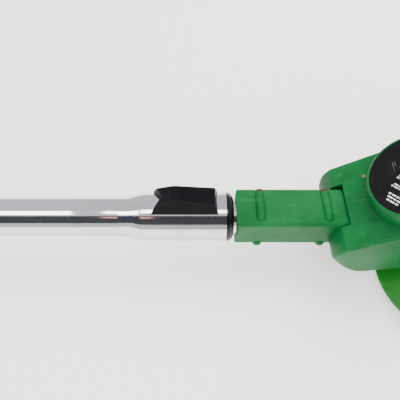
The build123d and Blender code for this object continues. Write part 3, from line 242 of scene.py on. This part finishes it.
def casing_green():
    """Satin moulded plastic with handling marks, dust in its hollows and a fine sparked grain."""
    made = Finish("casing_green", Roughness=0.45, Specular_IOR_Level=0.2)
    cloud = made.noise(22 * MM, 3)
    streak = made.noise(5 * MM, 5, (0.35, 1, 1))
    fine = made.noise(0.9 * MM, 3)
    colour = made.mix(cloud.ramp(0.35, 0.7), GREEN, GREEN_DEEP)
    colour = made.mix(streak.ramp(0.56, 0.72) * 0.22, colour, GREEN_DUSTY)
    # the halves of the head and connector meet on the middle plane
    seam = abs(made.axis((0, 1, 0))).ramp(0.32 * MM, 0.08 * MM)
    forward = made.axis((1, 0, 0)).ramp(SEAM_START, SEAM_FULL)
    colour = made.mix(seam * forward * 0.45, colour, tone(20, 70, 36))
    # dried grass and soil flecks
    flecks = made.noise(2.6 * MM, 6, roughness=0.7).ramp(0.735, 0.76)
    colour = made.mix(flecks * 0.55, colour, SOIL)
    dab = made.reach(SOIL_DAB) + made.noise(1.5 * MM) * (2.4 * MM)
    colour = made.mix(dab.ramp(2.6 * MM, 1.7 * MM) * 0.85, colour, SOIL)
    wear = made.edge_wear() * streak.ramp(0.4, 0.6)
    colour = made.mix(wear * 0.4, colour, GREEN_DUSTY)
    made.feed("Base Color", colour)
    made.feed("Roughness", 0.4 + streak * 0.16 + flecks * 0.3)
    made.grain(fine * 0.6 + streak * 0.8, 0.06 * MM, 0.5)
    return made


def guard_green():
    """Brighter, slightly glossier green plastic, scuffed by grass and stones."""
    made = Finish("guard_green", Roughness=0.34, Specular_IOR_Level=0.5)
    cloud = made.noise(30 * MM, 3)
    scratches = made.noise(2.2 * MM, 4, (0.12, 1, 1)).ramp(0.62, 0.74)
    colour = made.mix(cloud.ramp(0.35, 0.7), tone(28, 114, 30), tone(16, 98, 20))
    colour = made.mix(scratches * 0.25, colour, tone(110, 170, 100))
    flecks = made.noise(3 * MM, 6, roughness=0.7).ramp(0.72, 0.75)
    colour = made.mix(flecks * 0.5, colour, SOIL)
    made.feed("Base Color", colour)
    made.feed("Roughness", 0.3 + scratches * 0.2 + flecks * 0.3)
    made.grain(made.noise(1.1 * MM, 3), 0.05 * MM, 0.4)
    return made


def chrome():
    """Bright plated tube with faint drawing lines, haze, a few pits and a painted warm reflection near its
    front.
    """
    made = Finish("chrome_plate", Metallic=1.0, Roughness=0.06)
    haze = made.noise(26 * MM, 4, (0.4, 1, 1))
    lines = made.noise(0.5 * MM, 2, (0.02, 1, 1))
    pits = made.noise(1.4 * MM, 5, roughness=0.75).ramp(0.74, 0.77)
    # painted reflection: a faint pinkish-brown tint near the tube's front stands in for a brown patch
    # reflected in the chrome
    painted_warm_reflection = made.axis((1, 0, 0)).ramp(REFLECTION_TINT_START, REFLECTION_TINT_FULL)
    colour = made.mix(haze.ramp(0.4, 0.75), tone(226, 227, 230), tone(206, 206, 209))
    colour = made.mix(painted_warm_reflection * haze.ramp(0.45, 0.6) * 0.12, colour, tone(196, 160, 150))
    colour = made.mix(pits * 0.4, colour, tone(120, 96, 76))
    made.feed("Base Color", colour)
    made.feed("Roughness", 0.045 + haze * 0.05 + pits * 0.3)
    made.grain(haze + lines * 0.12, 0.1 * MM, 0.25)
    return made


def moulded_black():
    """Black plastic with a fine grain, dusty in places."""
    made = Finish("moulded_black", Roughness=0.4, Specular_IOR_Level=0.1)
    dust = made.noise(9 * MM, 5).ramp(0.5, 0.8)
    grain = made.noise(0.6 * MM, 2)
    wear = made.edge_wear(0.5 * MM)
    colour = made.mix(dust * 0.16, tone(8, 8, 11), tone(48, 48, 48))
    colour = made.mix(wear * 0.2, colour, tone(70, 70, 74))
    made.feed("Base Color", colour)
    made.feed("Roughness", 0.36 + dust * 0.2)
    made.grain(grain, 0.05 * MM, 0.5)
    return made


def glossy_black():
    """Black plastic polished by the mould, with light rubbing."""
    made = Finish("glossy_black", Roughness=0.18, Specular_IOR_Level=0.3)
    rubbed = made.noise(6 * MM, 5).ramp(0.5, 0.75)
    colour = made.mix(rubbed * 0.25, tone(10, 10, 13), tone(44, 44, 47))
    made.feed("Base Color", colour)
    made.feed("Roughness", 0.14 + rubbed * 0.22)
    made.grain(made.noise(4 * MM, 3), 0.05 * MM, 0.3)
    return made


def soft_grip():
    """Rubbery moulded grip with a pebbled surface."""
    made = Finish("soft_grip", Roughness=0.75, Specular_IOR_Level=0.35)
    cells = made.node(
        "ShaderNodeTexVoronoi", {"feature": "SMOOTH_F1"}, {"Vector": made.place, "Scale": 1 / (1.6 * MM)}
    )
    pebbles = Value(made, cells.outputs["Distance"])
    dust = made.noise(12 * MM, 5).ramp(0.45, 0.75)
    made.feed("Base Color", made.mix(dust * 0.4, tone(27, 28, 29), tone(70, 69, 66)))
    made.feed("Roughness", 0.68 + dust * 0.2)
    made.grain(1 - pebbles, 0.25 * MM, 0.6)
    return made


def label_black():
    """Printed film, matt black with fine scratches."""
    made = Finish("label_film", Roughness=0.45, Specular_IOR_Level=0.12)
    scratches = made.noise(1.2 * MM, 3, (1, 0.08, 1)).ramp(0.66, 0.76)
    dust = made.noise(7 * MM, 5).ramp(0.5, 0.8)
    colour = made.mix(dust * 0.25, tone(14, 14, 15), tone(44, 44, 44))
    colour = made.mix(scratches * 0.3, colour, tone(120, 120, 120))
    made.feed("Base Color", colour)
    made.feed("Roughness", 0.42 + dust * 0.2)
    made.grain(made.noise(0.8 * MM, 2), 0.02 * MM, 0.5)
    return made


def label_white():
    """White ink, slightly rubbed."""
    made = Finish("label_ink", Roughness=0.5)
    rubbed = made.noise(1.6 * MM, 5).ramp(0.56, 0.72)
    made.feed("Base Color", made.mix(rubbed * 0.6, tone(226, 228, 228), tone(128, 129, 130)))
    made.grain(rubbed, 0.02 * MM, 0.4)
    return made


def metal(name, bright, dull, roughness, rust=0.0, stretch=(1, 1, 1)):
    """Bare or plated metal with brushing, dull patches and, where it is left wet, rust."""
    made = Finish(name, Metallic=1.0, Roughness=roughness)
    brushed = made.noise(1.2 * MM, 4, stretch)
    patches = made.noise(6 * MM, 5).ramp(0.45, 0.7)
    colour = made.mix(patches, bright, dull)
    rough = roughness + brushed * 0.12 + patches * 0.08
    if rust:
        rusty = made.noise(1.1 * MM, 6, roughness=0.7).ramp(0.6 - 0.35 * rust, 0.7 - 0.3 * rust)
        colour = made.mix(rusty, colour, tone(74, 38, 24))
        made.feed("Metallic", 1 - rusty * 0.9)
        rough = rough + rusty * 0.35
    made.feed("Base Color", colour)
    made.feed("Roughness", rough)
    made.grain(brushed, 0.04 * MM, 0.5)
    return made


def plain(name, light, dark, roughness):
    """Moulded or coated matter with soft mottling."""
    made = Finish(name, Roughness=roughness)
    mottle = made.noise(3 * MM, 5)
    made.feed("Base Color", made.mix(mottle.ramp(0.35, 0.7), light, dark))
    made.feed("Roughness", roughness - 0.05 + mottle * 0.1)
    made.grain(mottle, 0.05 * MM, 0.5)
    return made


def windings():
    """Stacked steel plates between copper windings."""
    made = Finish("rotor_windings", Metallic=0.9, Roughness=0.4)
    stack = made.axis(HEAD_UP, HINGE) * (1 / (0.5 * MM))
    plates = stack.math("FRACT", stack).ramp(0.35, 0.6)
    made.feed("Base Color", made.mix(plates, tone(92, 90, 90), tone(150, 96, 60)))
    made.grain(plates, 0.1 * MM, 0.6)
    return made


ALONG_POLE = (0.05, 1, 1)
FINISHES = {
    "green_shell": casing_green(),
    "green_guard": guard_green(),
    "chrome_tube": chrome(),
    "black_plastic": moulded_black(),
    "black_gloss": glossy_black(),
    "soft_grip": soft_grip(),
    "label_print": label_black(),
    "screw_steel": metal("screw_steel", tone(120, 112, 106), tone(84, 76, 70), 0.42, rust=0.8),
    "spring_steel": metal("spring_steel", tone(200, 200, 203), tone(164, 164, 168), 0.25),
    "blade_steel": metal(
        "blade_steel", tone(202, 204, 207), tone(160, 161, 164), 0.28, 0.15, ALONG_POLE
    ),
    "white_nylon": plain("white_nylon", tone(228, 226, 218), tone(206, 203, 192), 0.45),
    "motor_steel": metal("motor_steel", tone(182, 184, 188), tone(150, 151, 156), 0.32),
    "magnet": plain("magnet", tone(62, 62, 66), tone(40, 40, 43), 0.6),
    "rotor_steel": windings(),
    "board": plain("circuit_board", tone(22, 104, 54), tone(12, 74, 38), 0.35),
    "brass": metal("tinned_brass", tone(214, 186, 122), tone(176, 148, 92), 0.28),
    "cell_wrap": plain("cell_wrap", tone(44, 96, 158), tone(34, 78, 136), 0.25),
    "lead_rubber": plain("lead_rubber", tone(46, 46, 48), tone(30, 30, 32), 0.6),
}
for row in frame["record"]["subparts"]:
    node = frame["nodes"][row["node"]]
    node.material_slots[0].link = "OBJECT"
    node.material_slots[0].material = FINISHES[row["material_slot"]].material


# ------------------------------------------------------------------ added pieces
def add_piece(name, mesh, finish, body):
    """Shows a bmesh as a piece that rides on a body."""
    data = bpy.data.meshes.new(name)
    mesh.to_mesh(data)
    mesh.free()
    made = bpy.data.objects.new(name, data)
    bpy.context.scene.collection.objects.link(made)
    data.materials.append(finish.material)
    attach(made, body)


def plate(mesh, outline, thickness):
    """Adds a flat closed plate to the bmesh: the outline lies at height 0 and the plate rises from it."""
    lower = [mesh.verts.new((x, y, 0)) for x, y in outline]
    upper = [mesh.verts.new((x, y, thickness)) for x, y in outline]
    mesh.faces.new(reversed(lower))
    mesh.faces.new(upper)
    count = len(outline)
    for k in range(count):
        after = (k + 1) % count
        mesh.faces.new((lower[k], lower[after], upper[after], upper[k]))


def bar(centre, length, width, turn):
    """Outline of a straight bar with chamfered corners, turned about its centre."""
    corner = width * 0.12
    half_l, half_w = length / 2, width / 2
    shape = [
        (-half_l, -half_w + corner),
        (-half_l + corner, -half_w),
        (half_l - corner, -half_w),
        (half_l, -half_w + corner),
        (half_l, half_w - corner),
        (half_l - corner, half_w),
        (-half_l + corner, half_w),
        (-half_l, half_w - corner),
    ]
    return [
        (centre[0] + x * cos(turn) - y * sin(turn), centre[1] + x * sin(turn) + y * cos(turn))
        for x, y in shape
    ]


def band(radius, width, start, end, steps):
    """Outline of a curved band about the label's middle."""
    turns = [start + (end - start) * k / steps for k in range(steps + 1)]
    outer = [((radius + width / 2) * cos(t), (radius + width / 2) * sin(t)) for t in turns]
    inner = [((radius - width / 2) * cos(t), (radius - width / 2) * sin(t)) for t in reversed(turns)]
    return outer + inner


def label_half_thickness():
    """Half the label's thickness along the motor's axis."""
    heights = [HEAD_UP.dot(vertex.co) for vertex in frame["nodes"]["label_disc"].data.vertices]
    return (max(heights) - min(heights)) / 2


# rows of bars on the label, in millimetres: offset from its middle, bar width and bar lengths
LABEL_ROWS = (
    (-19.4, 0.8, (1.6, 2.6, 1.6)),
    (-17.6, 0.8, (3.2, 1.4, 2.8)),
    (-15.8, 0.8, (1.6, 2.2, 1.2, 3.0)),
    (-11.6, 0.7, (1.0, 2.4, 0.8, 1.8, 1.2, 3.0)),
    (-10.2, 0.7, (2.2, 0.8, 2.6, 1.0, 2.8)),
    (-6.4, 0.7, (1.2, 3.0, 1.0, 2.2, 1.6, 2.6)),
    (-5.0, 0.7, (2.6, 1.2, 1.8, 0.8, 3.2, 1.4)),
    (-0.4, 1.4, (6.0, 3.0, 9.0)),
    (3.4, 0.6, (11.0, 9.5)),
    (5.4, 0.6, (8.0, 13.0)),
    (7.4, 0.6, (12.0, 7.0)),
    (12.4, 1.6, (5.0, 2.0, 5.0)),
)
# curved lines on the label: radius and width in millimetres, first and last angle in degrees, steps
LABEL_ARCS = (
    (21.2, 0.7, -60, 60, 24),
    (16.8, 1.1, 70, 100, 8),
)
BAR_GAP = 0.55                # between the bars of a row, in millimetres
ROW_TURN = radians(-52)
INK = 0.06 * MM
INK_GAP = 0.01 * MM           # between the film and the ink, so that their faces don't flicker


def label_marks():
    """Plain white marks on the round label: rows of short bars, ruled lines and two arcs."""
    mesh = bmesh.new()
    along = Vector((cos(ROW_TURN), sin(ROW_TURN)))
    aside = Vector((-sin(ROW_TURN), cos(ROW_TURN)))
    for offset, width, lengths in LABEL_ROWS:
        at = -(sum(lengths) + BAR_GAP * (len(lengths) - 1)) / 2
        for length in lengths:
            point = along * ((at + length / 2) * MM) + aside * (offset * MM)
            plate(mesh, bar(point, length * MM, width * MM, ROW_TURN), INK)
            at += length + BAR_GAP
    for radius, width, start, end, steps in LABEL_ARCS:
        plate(mesh, band(radius * MM, width * MM, radians(start), radians(end), steps), INK)
    lift = HEAD_UP * (label_half_thickness() + INK_GAP)
    turn = Matrix((HEAD_ALONG, Vector((0, 1, 0)), HEAD_UP)).transposed().to_4x4()
    mesh.transform(Matrix.Translation(middle("label_disc") + lift) @ turn)
    bmesh.ops.recalc_face_normals(mesh, faces=mesh.faces)
    add_piece("label_marks", mesh, label_white(), "head")


label_marks()


def squeezed_spring(node):
    """Shows a copy of a spring in spring steel on the body that carries it, in place of the CAD part."""
    data = frame["nodes"][node].data.copy()
    data.materials[0] = FINISHES["spring_steel"].material
    made = bpy.data.objects.new(node + "_coils", data)
    bpy.context.scene.collection.objects.link(made)
    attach(made, frame["nodes"][node]["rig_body"])
    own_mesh(made)
    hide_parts(node)


def rounded_box(width, height, corner, steps=6):
    """Outline of a rectangle with rounded corners."""
    outline = []
    for quarter, (side_x, side_y) in enumerate(((1, 1), (-1, 1), (-1, -1), (1, -1))):
        for step in range(steps + 1):
            turn = (quarter + step / steps) * pi / 2
            outline.append(
                (
                    side_x * (width / 2 - corner) + corner * cos(turn),
                    side_y * (height / 2 - corner) + corner * sin(turn),
                )
            )
    return outline


GAUGE_WIDTH = 30 * MM
GAUGE_HEIGHT = 8 * MM
GAUGE_CORNER = 2.5 * MM
GAUGE_THICKNESS = 0.5 * MM
GAUGE_LEVEL = 0.62            # share of the lower case's height
LENS_COUNT = 4
LENS_PITCH = 6.4 * MM
LENS_R = 1.5 * MM
LENS_FLATNESS = 0.4


def charge_gauge():
    """Glossy window with a row of lenses on the rear of the battery."""
    low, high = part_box("battery_lower_case")
    place = Matrix.Translation((low.x, 0, low.z + GAUGE_LEVEL * (high.z - low.z)))
    # the window's own axes point to the right, up and to the rear
    place @= Matrix(((0, 0, -1), (-1, 0, 0), (0, 1, 0))).to_4x4()
    window = bmesh.new()
    plate(window, rounded_box(GAUGE_WIDTH, GAUGE_HEIGHT, GAUGE_CORNER), GAUGE_THICKNESS)
    rim = [edge for edge in window.edges if all(vertex.co.z > 0 for vertex in edge.verts)]
    bmesh.ops.bevel(window, geom=rim, offset=GAUGE_THICKNESS / 2, segments=2, affect="EDGES")
    window.transform(place)
    bmesh.ops.recalc_face_normals(window, faces=window.faces)
    add_piece("charge_window", window, FINISHES["black_gloss"], "battery")
    lens_green = plain("charge_lens", tone(120, 190, 110), tone(84, 160, 84), 0.2)
    for number in range(1, LENS_COUNT + 1):
        dome = bmesh.new()
        bmesh.ops.create_uvsphere(dome, u_segments=24, v_segments=12, radius=LENS_R)
        offset = (number - (LENS_COUNT + 1) / 2) * LENS_PITCH
        spot = Matrix.Translation((offset, 0, GAUGE_THICKNESS))
        dome.transform(place @ spot @ Matrix.Diagonal((1, 1, LENS_FLATNESS, 1)))
        for face in dome.faces:
            face.smooth = True
        add_piece(f"charge_lens_{number}", dome, lens_green, "battery")


charge_gauge()

for node, joint in (
    ("lock_button_spring", "lock_button_slide"),
    ("tilt_lock_spring", "tilt_button_push"),
    ("battery_latch_spring", "battery_latch_press"),
):
    squeezed_spring(node)
squeezed_spring(
    "trigger_spring"
)


# ------------------------------------------------------------------ floor, light and camera
FOCUS = Vector((HINGE.x - 102 * MM, 0, POLE_Z))     # on the pole's axis, beside the lock button
FLOOR_SIZE = 8.0
CARD_DISTANCE = 0.8


def stage_plane(name, size, at, turn, colour, glow):
    """A flat square that isn't part of the object and gives off some light of its own."""
    mesh = bmesh.new()
    bmesh.ops.create_grid(mesh, x_segments=1, y_segments=1, size=size / 2)
    data = bpy.data.meshes.new(name)
    mesh.to_mesh(data)
    mesh.free()
    made = bpy.data.objects.new(name, data)
    made.location = at
    made.rotation_euler = turn
    bpy.context.scene.collection.objects.link(made)
    finish = Finish(
        name, Base_Color=colour, Roughness=0.6, Emission_Color=colour, Emission_Strength=glow
    )
    data.materials.append(finish.material)
    return made


def ring_point(elevation, distance, along=0.0):
    """Point round the pole: 0 degrees is to the right of the tool, 90 above it."""
    turn = radians(elevation)
    return FOCUS + Vector((along, -distance * cos(turn), distance * sin(turn)))


def reflected_card(name, at, size, colour):
    """A card that shows only in the object's shiny surfaces: size is its height and its width."""
    facing = Vector((0, FOCUS.y - at.y, FOCUS.z - at.z))
    turn = facing.to_track_quat("Z", "X").to_euler()
    card = stage_plane(name, 1.0, at, turn, (*colour, 1), 1.0)
    card.scale = (*size, 1)
    card.visible_camera = False
    card.visible_diffuse = False
    card.visible_shadow = False


def soft_light(name, at, size, power):
    """A large area light that faces the focus and doesn't show in shiny surfaces."""
    data = bpy.data.lights.new(name, "AREA")
    data.shape = "RECTANGLE"
    data.size, data.size_y = size
    data.energy = power
    made = bpy.data.objects.new(name, data)
    made.location = at
    made.rotation_euler = (FOCUS - at).to_track_quat("-Z", "Y").to_euler()
    made.visible_glossy = False
    bpy.context.scene.collection.objects.link(made)


stage_plane("floor", FLOOR_SIZE, (0, 0, 0), (0, 0, 0), tone(240, 240, 236), 0.85)

# each card: elevation round the pole, distance, place along the pole, size and colour
for name, elevation, distance, along, size, colour in (
    ("dark_card", 43, CARD_DISTANCE, 0.0, (0.6, 2.6), (0.004, 0.004, 0.009)),
    ("brown_card", 55, CARD_DISTANCE - 0.04, -0.19, (0.12, 0.13), (0.33, 0.17, 0.13)),
    ("white_card_rear", 81, CARD_DISTANCE, -0.66, (0.3, 0.62), (2.6, 2.6, 2.7)),
    ("white_card_middle", 84, CARD_DISTANCE, -0.09, (0.22, 0.34), (2.2, 2.2, 2.3)),
    ("grey_strip", 122, CARD_DISTANCE, 0.0, (0.05, 2.6), (0.2, 0.2, 0.21)),
):
    reflected_card(name, ring_point(elevation, distance, along), size, colour)

for name, at, size, power in (
    ("window", ring_point(118, 1.2, 0.3), (1.0, 1.0), 19),
    ("ceiling", ring_point(88, 1.5), (1.8, 1.8), 20),
    ("fill", ring_point(30, 1.2, -0.1), (1.2, 1.0), 11),
):
    soft_light(name, at, size, power)

world = bpy.data.worlds.new("studio")
bpy.context.scene.world = world
world.use_nodes = True
sky = world.node_tree.nodes["Background"]
sky.inputs["Color"].default_value = (0.95, 0.97, 1.0, 1)
sky.inputs["Strength"].default_value = 0.92

CAMERA_TILT = radians(30.8)   # from straight down
CAMERA_OFFSET = Vector((0, -112.6 * MM, 209.2 * MM))
camera_data = bpy.data.cameras.new("camera")
camera_data.lens = 33.75
camera_data.clip_start = 0.01
camera = bpy.data.objects.new("camera", camera_data)
camera.location = FOCUS + CAMERA_OFFSET
camera.rotation_euler = (CAMERA_TILT, 0, 0)
bpy.context.scene.collection.objects.link(camera)
bpy.context.scene.camera = camera
